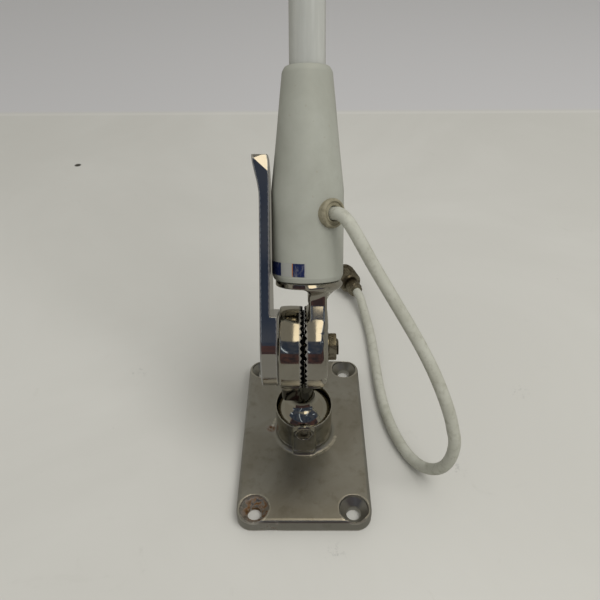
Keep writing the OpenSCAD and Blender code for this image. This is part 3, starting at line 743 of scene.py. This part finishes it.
HUB_R, BAR_HALF, THUMB_S = 21.5, 6.75, 104.5
BAR_BACK, LEDGE_S, LEDGE_TILT = -17.3, 19.6, math.radians(6.7)
LEVER_SIDE = (
    arc((0, 5), HUB_R, 8.8, 4.4, 2)
    + arc((1.5, -1.5), HUB_R - 1, 4.4, -158.4, 37)
    + arc((0, 5), HUB_R, 201.6, 171.2, 8)
    + [(-BAR_HALF, 102.5), (-4.75, THUMB_S), (4.75, THUMB_S), (BAR_HALF, 102.5)]
)
LEVER_FRONT = [
    (-13.5, -30), (-13.5, 60), (-17.9, 101.5), (-18.5, THUMB_S), (-26.8, THUMB_S), (-26.2, 100.5),
    (-25.1, 95.5), (-23.7, 90), (-22.9, 85), (-22.8, 80), (-22.8, -30),
]


def lever_field(x, y, z):
    """In the whip's frame at rest: a flat teardrop, with a thicker part below a ledge."""
    side = outline(y, z, LEVER_SIDE)
    body = both(side, outline(x, z, LEVER_FRONT), 0.7)
    ledge = (z - LEDGE_S) * math.cos(LEDGE_TILT) + y * math.sin(LEDGE_TILT)
    body = cut(body, both(BAR_BACK - x, -ledge), 0.7)
    # the thumb end slopes back and a little to the side
    body = both(body, 0.2 * (x + 22) - 0.91 * (y + BAR_HALF) + 0.36 * (z - 101.0), 0.3)
    return cut(body, both(np.hypot(y, z) - BOLT_HOLE, -21.5 - x), 0.2)


CELL = 1.0
SPLIT_Z = 13.0


def mount_base():
    """The plate in coarse cells and the thin-walled boss above it in fine ones."""
    plate = surface_nets(
        lambda x, y, z: both(base_field(x, y, z), z - SPLIT_Z),
        (-39.5, -65, -1.5), (39.5, 65, SPLIT_Z + 1.5), 0.75 * CELL,
    )
    boss = surface_nets(
        lambda x, y, z: both(base_field(x, y, z), SPLIT_Z - 0.1 - z),
        (-18.6, -20, SPLIT_Z - 1.5), (18.6, 18.6, 40), 0.42 * CELL,
    )
    points, normals = np.vstack([plate[0], boss[0]]), np.vstack([plate[2], boss[2]])
    quads = np.vstack([plate[1], boss[1] + len(plate[0])])
    return new_object("mount_base", points, quads, normals=normals)


finished(mount_base(), "base", "stainless", MAT["base"], "base_plate")
finished(
    cast("ratchet_knuckle", knuckle_field, (-18.5, -24.5, 13), (18.5, 24.5, 105.5), 0.5 * CELL),
    "knuckle", "stainless", MAT["knuckle"], "knuckle",
)
finished(
    cast("ratchet_bracket", bracket_field, (-17, -24.5, -24.5), (21.5, 24.5, 62), 0.5 * CELL, WHIP),
    "upper", "stainless", MAT["disc"], "swing_bracket",
)
finished(
    cast("ratchet_lever", lever_field, (-28, -23, -23), (-12.4, 23, 106), 0.5 * CELL, WHIP),
    "handle", "stainless", MAT["lever"], "lever",
)


# -------------------- turned pieces
def rounded(points, radius, steps=4, closed=True):
    """A profile with its corners rounded. radius is a number, or one per point."""
    count = len(points)
    radii = [radius] * count if not hasattr(radius, "__len__") else radius
    out = []
    for i, (p, r) in enumerate(zip(points, radii)):
        if not closed and i in (0, count - 1) or r <= 0:
            out.append(p)
            continue
        p = np.array(p, float)
        a, b = np.array(points[i - 1], float) - p, np.array(points[(i + 1) % count], float) - p
        la, lb = np.linalg.norm(a), np.linalg.norm(b)
        a, b = a / la, b / lb
        half = math.acos(np.clip(a @ b, -1, 1)) / 2
        if half > math.pi / 2 - 0.02:
            out.append(tuple(p))
            continue
        run = min(r / math.tan(half), 0.45 * la, 0.45 * lb)
        r = run * math.tan(half)
        centre = p + (a + b) / np.linalg.norm(a + b) * r / math.sin(half)
        start, end = p + a * run - centre, p + b * run - centre
        for t in np.linspace(0, 1, steps + 1):
            v = start * (1 - t) + end * t
            out.append(tuple(centre + v / np.linalg.norm(v) * r))
    return out


def lathe(name, profile, matrix, steps, closed=True):
    """A profile of (radius, height) turned round the frame's z axis."""
    profile = [(max(float(r), 0.0), float(h)) for r, h in profile]
    points, starts = [], []
    for r, h in profile:
        starts.append(len(points))
        if r < 1e-6:
            points.append((0, 0, h))
        else:
            a = np.arange(steps) * 2 * math.pi / steps
            points += list(zip(r * np.cos(a), r * np.sin(a), [h] * steps))
    faces = []
    pairs = list(zip(range(len(profile)), list(range(1, len(profile))) + [0]))
    for i, j in pairs if closed else pairs[:-1]:
        ri, rj = profile[i][0] < 1e-6, profile[j][0] < 1e-6
        for k in range(steps):
            m = (k + 1) % steps
            if ri and rj:
                continue
            if ri:
                faces.append((starts[i], starts[j] + m, starts[j] + k))
            elif rj:
                faces.append((starts[i] + k, starts[i] + m, starts[j]))
            else:
                faces.append((starts[i] + k, starts[i] + m, starts[j] + m, starts[j] + k))
    return new_object(name, moved(matrix, points), faces, sharp=50)


collar_side = [
    (15.0, COLLAR_S), (18.16, COLLAR_S), (COLLAR_R, 41.3), (COLLAR_R, 85.5), (18.62, 91), (18.15, 95),
    (16.85, 107), (15.6, 119), (14.44, 131), (13.6, 139), (13.02, 144.7), (11.6, 147.2),
    (9.7, COLLAR_TOP), (9.35, 147.0), (9.35, 100), (13.4, 88), (13.4, 64), (14.6, 64), (14.6, 39.3),
]
collar_round = [0.3, 0.8, 1.4, 0, 5, 9, 40, 40, 40, 20, 4, 2, 0.4, 0.3, 0, 0, 0, 0, 0.3]
finished(
    lathe("whip_collar", rounded(collar_side, collar_round, 5), WHIP_AXIS, 128),
    "upper", "collar_plastic", MAT["collar"], "collar",
)
finished(
    lathe(
        "whip_tube_shell",
        rounded([(7.4, 104), (TUBE_R, 104), (TUBE_R, TIP_S - 3), (7.4, TIP_S - 3)], 0.3),
        WHIP_AXIS, 96,
    ),
    "upper", "tube_gelcoat", MAT["tube"], "whip_tube",
)
finished(
    lathe(
        "whip_end_cap",
        rounded(
            [
                (0, TIP_S), (10.4, TIP_S), (10.4, TIP_S - 26),
                (9.32, TIP_S - 26), (9.32, TIP_S - 2), (0, TIP_S - 2),
            ],
            [0, 5.8, 0.4, 0.3, 0.5, 0], 8, closed=False,
        ),
        WHIP_AXIS, 96, closed=False,
    ),
    "upper", "cap_plastic", MAT["cap"], "tip_cap",
)

# the grommet: outer lip, groove, inner lip, and a throat a little wider than the cable
finished(
    lathe(
        "cable_entry_grommet",
        rounded(
            [
                (3.5, 16), (3.5, 20.2), (4.0, 21.35), (4.75, 21.45), (5.15, 20.95),
                (5.75, 20.9), (6.1, 21.75), (7.0, 21.75), (7.6, 20.6), (7.6, 15.2),
                (5.0, 15.2), (5.0, 14.6), (3.5, 14.6),
            ],
            [0, 0.6, 0.35, 0.3, 0.2, 0.2, 0.45, 0.5, 0.7, 0, 0, 0, 0],
        ),
        GROMMET, 64,
    ),
    "upper", "grommet_rubber", MAT["rubber"], "cable_grommet",
)


# -------------------- fastenings
LOCK_T, NUT_T, BOLT_END, THREAD = 0.9, 4.2, 19.4, 1.5


def hexagon(r, a, half_flats):
    """Distance past the flats of a hexagon, at radius r and angle a."""
    return r * np.cos((a + math.pi / 6) % (math.pi / 3) - math.pi / 6) - half_flats


def nut_field(x, y, z):
    """A hexagon nut along +z from 0 to NUT_T, turned a little, with both ends chamfered."""
    r, a = np.hypot(x, y), np.arctan2(y, x) - math.radians(12)
    crown = (r + z - 8.15 - NUT_T + 0.45) * COS_45
    heel = (r - z - 8.1) * COS_45
    body = both(hexagon(r, a, 7.15), np.maximum(-z, z - NUT_T), 0.15)
    body = both(body, np.maximum(crown, heel), 0.25)
    return cut(body, r - 4.78, 0.3)


def bolt_field(x, y, z):
    """A threaded end, and a plain shank down to z = -21."""
    r, a = np.hypot(x, y), np.arctan2(y, x)
    wave = np.abs((z / THREAD - a / (2 * math.pi)) % 1 - 0.5) * 2
    depth = np.where(z > 12.5, 0.62 * (1 - wave), 0.0)
    body = both(r - BOLT_R + depth * 0.9, np.maximum(-21 - z, z - BOLT_END), 0.7)
    socket = both(r - 1.2, BOLT_END - 0.8 - z)
    return cut(body, socket, 0.2)


finished(
    cast("pivot_hex_nut", nut_field, (-9, -9, -0.8), (9, 9, 5.0), 0.3,
         AXLE @ Matrix.Translation((0, 0, DISC_T + LOCK_T))),
    "upper", "bright_steel", MAT["bright"], "hex_nut",
)
finished(
    cast("pivot_axle_bolt", bolt_field, (-5.6, -5.6, -21.8), (5.6, 5.6, 20.2), 0.3, AXLE),
    "upper", "bright_steel", MAT["bright"], "pivot_bolt",
)
finished(
    lathe(
        "pivot_lock_washer",
        rounded([(4.85, 13.02), (8.2, 13.02), (8.2, 13.88), (4.85, 13.88)], 0.25),
        AXLE, 48,
    ),
    "upper", "bright_steel", MAT["bright"], "lock_washer",
)
# a black ring of painted shade fills the gap between the two rows of teeth
finished(
    lathe("ratchet_teeth_gap_shade", [(9.6, -0.4), (20.6, -0.4), (20.6, 0.4), (9.6, 0.4)], AXLE, 72),
    "knuckle", "seal_rubber", MAT["teeth_gap_shade"],
)


def set_screw_field(x, y, z):
    """+z points out of the hole; the driving socket has six sides."""
    r, a = np.hypot(x, y), np.arctan2(y, x)
    head = both(r - 4.2, np.maximum(-1.8 - z, z + 0.4), 0.6)
    point = both(r - 1.5, np.maximum(-5.1 - z, z + 1.2), 0.3)
    socket = both(hexagon(r, a, 2.0), -1.3 - z)
    return cut(union(head, point), socket, 0.25)


finished(
    cast("swivel_set_screw", set_screw_field, (-5, -5, -5.8), (5, 5, 0.4), 0.25, PAD),
    "base", "bright_steel", MAT["screw"], "set_screw",
)


# -------------------- plug
def plug_field(x, y, z):
    r, a = np.hypot(x, y), np.arctan2(y, x)
    back = both(r - 5.3, np.maximum(-z, z - 12), 0.6)
    groove = 0.28 * (np.cos(a * 16) > 0) * ((z > 3.2) & (z < 8.2))
    grip = both(r - 5.95 + groove, np.maximum(2.6 - z, z - 8.8), 0.35)
    neck = both(r - 5.4, np.maximum(8 - z, z - 18))
    flange = both(r - 7.4, np.maximum(17.6 - z, z - 20), 0.3)
    nose = both(r - 5.8, np.maximum(19 - z, z - 29.9), 0.4)
    body = union(union(union(back, grip, 0.4), neck), union(flange, nose, 0.3))
    body = cut(body, both(r - 4.6, 22.5 - z), 0.2)
    return cut(body, both(r - 3.0, z - 1.5), 0.3)


RING_SIDE = [(0, 10.5), (7.6, 10.5), (8.7, 11.9), (8.7, 26.7), (8.2, 27.5), (8.2, 29), (0, 29)]


def ring_field(x, y, z):
    r, a = np.hypot(x, y), np.arctan2(y, x)
    body = outline(r, z, RING_SIDE)
    # flat-topped knurling
    body = body - np.where((z > 12.2) & (z < 26.2), 0.38 * np.clip(0.3 + np.cos(a * 30), 0, 1), 0.0)
    body = cut(body, r - 5.46, 0.3)
    return cut(body, both(r - 7.7, 17 - z), 0.3)


finished(
    cast("coax_plug_body", plug_field, (-8.2, -8.2, -0.8), (8.2, 8.2, 30.6), 0.4 * CELL, PLUG),
    "base", "plug_nickel", MAT["nickel"], "plug_body",
)
finished(
    cast("coax_coupling_ring", ring_field, (-10, -10, 9.8), (10, 10, 29.8), 0.4 * CELL, PLUG),
    "ring", "plug_nickel", MAT["nickel"], "coupling_ring",
)
finished(
    lathe(
        "coax_pin",
        rounded(
            [(0, 24.1), (1.95, 24.1), (1.95, 38.2), (1.2, 39.5), (0, 39.5)],
            [0, 0.2, 0.6, 0.6, 0], closed=False,
        ),
        PLUG, 32, closed=False,
    ),
    "base", "pin_brass", MAT["pin"], "plug_pin",
)


# -------------------- label strip
def label():
    """A film strip round the collar: silver ground with plain navy blocks, no lettering."""
    spans = [  # from, to in degrees from the front, and finish
        (-176, -118, 1), (-118, -46, 0), (-46, -25, 1), (-25, -23.5, 2), (-23.5, -5, 0), (-5, -3, 1),
    ]
    points, faces, kinds = [], [], []
    inner, outer = COLLAR_R + 0.01, COLLAR_R + 0.14
    steps = [np.linspace(a, b, max(2, int((b - a) / 3) + 1)) for a, b, _ in spans]
    marks = sorted(set(np.concatenate(steps)))
    low, high = 42.25, 49.15
    for a in marks:
        c, s = math.sin(math.radians(a)), -math.cos(math.radians(a))
        for r in (inner, outer):
            for h in (low, high):
                points.append((r * c, r * s, h))
    for i in range(len(marks) - 1):
        b, n = 4 * i, 4 * (i + 1)
        middle = (marks[i] + marks[i + 1]) / 2
        kind = next(k for f, t, k in spans if f <= middle <= t)
        faces += [
            (b + 2, n + 2, n + 3, b + 3), (b, b + 1, n + 1, n),
            (b + 1, b + 3, n + 3, n + 1), (b, n, n + 2, b + 2),
        ]
        kinds += [kind] * 4
    last = 4 * (len(marks) - 1)
    faces += [(0, 2, 3, 1), (last, last + 1, last + 3, last + 2)]
    kinds += [kinds[0], kinds[-1]]
    obj = new_object("collar_film_strip", moved(WHIP_AXIS, points), faces, sharp=40)
    films = [
        film("film_navy", (0.012, 0.02, 0.075), 0.14),
        film("film_silver", (0.46, 0.47, 0.45), 0.30, 0.35),
        film("film_orange", (0.36, 0.14, 0.04), 0.35),
    ]
    finished(obj, "upper", "label_film", films, "label_band")
    for polygon, kind in zip(obj.data.polygons, kinds):
        polygon.material_index = kind


label()

# -------------------- CAD nodes that stay
for node, material in {
    "thrust_washer": "nylon", "swivel_bolt": "bright", "swivel_washer": "bright",
    "release_spring": "spring", "collar_seal": "seal", "thread_insert": "brass",
    "radiator_rod": "brass", "foam_spacers": "foam", "coil_former": "resin",
    "matching_coil": "copper", "feed_lead": "jacket", "plug_insulator": "ptfe",
}.items():
    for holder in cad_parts[node].material_slots:
        holder.material = MAT[material]

# -------------------- cords
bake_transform(cable_tail)
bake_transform(cable_loop)


# -------------------- floor, cards and light
def floor_material():
    """Pale sheet with faint scuffs; far behind the mount it turns up into a cooler backdrop."""
    n = Nodes("floor_sheet")
    y = n.axis(1)
    wall = n.span(y, 0.560, 0.575)
    cloud = n.noise(3.2, 5, 0.6, warp=0.6)
    scuff = n.times(n.span(n.noise(26, 5, 0.75, warp=1.2), 0.62, 0.80), 0.22)
    colour = n.mix(n.span(cloud, 0.35, 0.70), (0.565, 0.562, 0.530), (0.605, 0.603, 0.572))
    colour = n.mix(scuff, colour, (0.33, 0.33, 0.29))
    speck = n.times(n.span(n.noise(170, 3, 0.7), 0.735, 0.77), 0.45)
    colour = n.mix(speck, colour, (0.20, 0.20, 0.18))
    for spot in ((94, -23, 0), (16, -76, 0), (150, 40, 0), (-120, 60, 0)):
        mark = n.times(n.near(spot, 1, 9), n.span(n.noise(240, 4, 0.7), 0.52, 0.64, 0, 0.35))
        colour = n.mix(mark, colour, (0.25, 0.26, 0.25))
    colour = n.mix(wall, colour, (0.56, 0.56, 0.575))
    # painted highlight: a pale line along the fold where the floor turns up into the backdrop
    crease_highlight = n.times(n.span(y, 0.553, 0.558), n.span(y, 0.566, 0.561))
    colour = n.mix(n.times(crease_highlight, 0.35), colour, (0.70, 0.69, 0.67))
    colour = n.mix(n.near((-266, 400, 0), 2.6, 4.6), colour, (0.05, 0.048, 0.04))
    n.set(Base_Color=colour, Roughness=0.55)
    n.set(Normal=n.bump(cloud, 0.2, 1.0))
    return n.material


def stage_mesh(name, points, faces, material, glossy_only=True):
    """A stage piece, in metres. A glossy_only one is seen only in reflections."""
    mesh = bpy.data.meshes.new(name)
    mesh.from_pydata([tuple(p) for p in points], [], faces)
    mesh.materials.append(material)
    obj = bpy.data.objects.new(name, mesh)
    bpy.context.collection.objects.link(obj)
    if glossy_only:
        obj.visible_camera = obj.visible_diffuse = obj.visible_shadow = False
    return obj


def panel(name, low, high, height, material, glossy_only=True):
    """A level rectangle from corner low to corner high."""
    (x0, y0), (x1, y1) = low, high
    corners = [(x0, y0, height), (x1, y0, height), (x1, y1, height), (x0, y1, height)]
    return stage_mesh(name, corners, [(0, 1, 2, 3)], material, glossy_only)


def glow(name, tone, strength=1.0, second=None):
    """A plain lamp surface; with a second tone it is cloudy."""
    material = bpy.data.materials.new(name)
    material.use_nodes = True
    tree = material.node_tree
    tree.nodes.clear()
    lamp = tree.nodes.new("ShaderNodeEmission")
    lamp.inputs["Color"].default_value = (*tone, 1)
    lamp.inputs["Strength"].default_value = strength
    if second:
        cloud = tree.nodes.new("ShaderNodeTexNoise")
        cloud.inputs["Scale"].default_value, cloud.inputs["Detail"].default_value = 5.0, 4.0
        tree.links.new(tree.nodes.new("ShaderNodeTexCoord").outputs["Object"], cloud.inputs["Vector"])
        ramp = tree.nodes.new("ShaderNodeValToRGB")
        for stop, place, shade in zip(ramp.color_ramp.elements, (0.42, 0.62), (tone, second)):
            stop.position, stop.color = place, (*shade, 1)
        tree.links.new(cloud.outputs[0], ramp.inputs[0])
        tree.links.new(ramp.outputs[0], lamp.inputs["Color"])
    out = tree.nodes.new("ShaderNodeOutputMaterial")
    tree.links.new(lamp.outputs[0], out.inputs["Surface"])
    return material


def direction(azimuth, elevation):
    """A unit vector. Azimuth 0 is the front, -Y, and 90 is +X; elevation is above the horizon."""
    a, e = math.radians(azimuth), math.radians(elevation)
    return Vector((math.sin(a) * math.cos(e), -math.cos(a) * math.cos(e), math.sin(e)))


CARDS_AT = Vector((0, 0, 0.08))


def shell(name, azimuths, elevations, distance, material, cuts=12):
    """A patch of a sphere round the mount."""
    (a0, a1), (e0, e1) = azimuths, elevations
    steps = range(cuts + 1)
    points = [
        CARDS_AT + distance * direction(a0 + (a1 - a0) * i / cuts, e0 + (e1 - e0) * j / cuts)
        for i in steps for j in steps
    ]
    corners = [i * (cuts + 1) + j for i in range(cuts) for j in range(cuts)]
    stage_mesh(name, points, [(a, a + 1, a + cuts + 2, a + cuts + 1) for a in corners], material)


def streak(name, line, width, material, distance=1.20):
    """A narrow lamp along a line of (azimuth, elevation) points."""
    points = [
        CARDS_AT + distance * direction(azimuth, elevation + side * width)
        for azimuth, elevation in line for side in (-0.5, 0.5)
    ]
    faces = [(2 * i, 2 * i + 1, 2 * i + 3, 2 * i + 2) for i in range(len(line) - 1)]
    stage_mesh(name, points, faces, material)


FLOOR = (-4, -4), (4, 6)
sheet = panel("floor", *FLOOR, 0, floor_material(), glossy_only=False)
sheet.visible_glossy = False
panel("floor_card", *FLOOR, -0.001, glow("card_floor", (0.22, 0.21, 0.18)))
shell("room_dark", (-180, 180), (14, 90), 2.6, glow("card_room", (0.215, 0.20, 0.165)), cuts=24)
shell("room_wall", (-180, 180), (-6, 14), 2.6, glow("card_wall", (0.235, 0.225, 0.19)), cuts=24)
NAVY = glow("card_navy", (0.032, 0.042, 0.065), second=(0.070, 0.076, 0.092))
WHITE = glow("card_white", (0.80, 0.90, 1.0))
panel("ceiling_panel", (0.04, -1.09), (0.5, 0.6), 1.5, glow("card_cream", (1.0, 0.86, 0.62), 1.5))
shell("front_dark", (-72, 72), (24, 57), 1.30, NAVY)
RED = glow("card_red", (0.085, 0.045, 0.040), second=(0.030, 0.026, 0.030))
shell("front_low", (-55, 55), (-4, 24), 1.28, RED)
streak("strip_right", [(100, 68), (70, 68), (42, 65), (27, 58), (15, 49)], 3.0, WHITE)
streak("strip_disc", [(-32, 54), (-25, 46), (-18, 38), (-12, 31), (-7, 27.5)], 2.6, WHITE)
streak("strip_outer_left", [(-74, 35), (-62, 38)], 2.0, WHITE)
streak("strip_outer_right", [(52, 42), (62, 39)], 2.0, WHITE)

lamp = bpy.data.lights.new("key", "AREA")
lamp.size, lamp.energy, lamp.color = 1.1, 19, (1.0, 0.985, 0.96)
key = bpy.data.objects.new("key", lamp)
bpy.context.collection.objects.link(key)
key.location = (0.75, -0.55, 1.7)
key.rotation_euler = (Vector((0, 0.1, 0.05)) - key.location).to_track_quat("-Z", "Y").to_euler()
key.visible_glossy = False
world = bpy.data.worlds.new("room")
bpy.context.scene.world = world
world.use_nodes = True
sky = world.node_tree.nodes["Background"]
sky.inputs["Color"].default_value, sky.inputs["Strength"].default_value = (0.62, 0.61, 0.58, 1), 0.90
bpy.context.scene.view_settings.view_transform = "Standard"
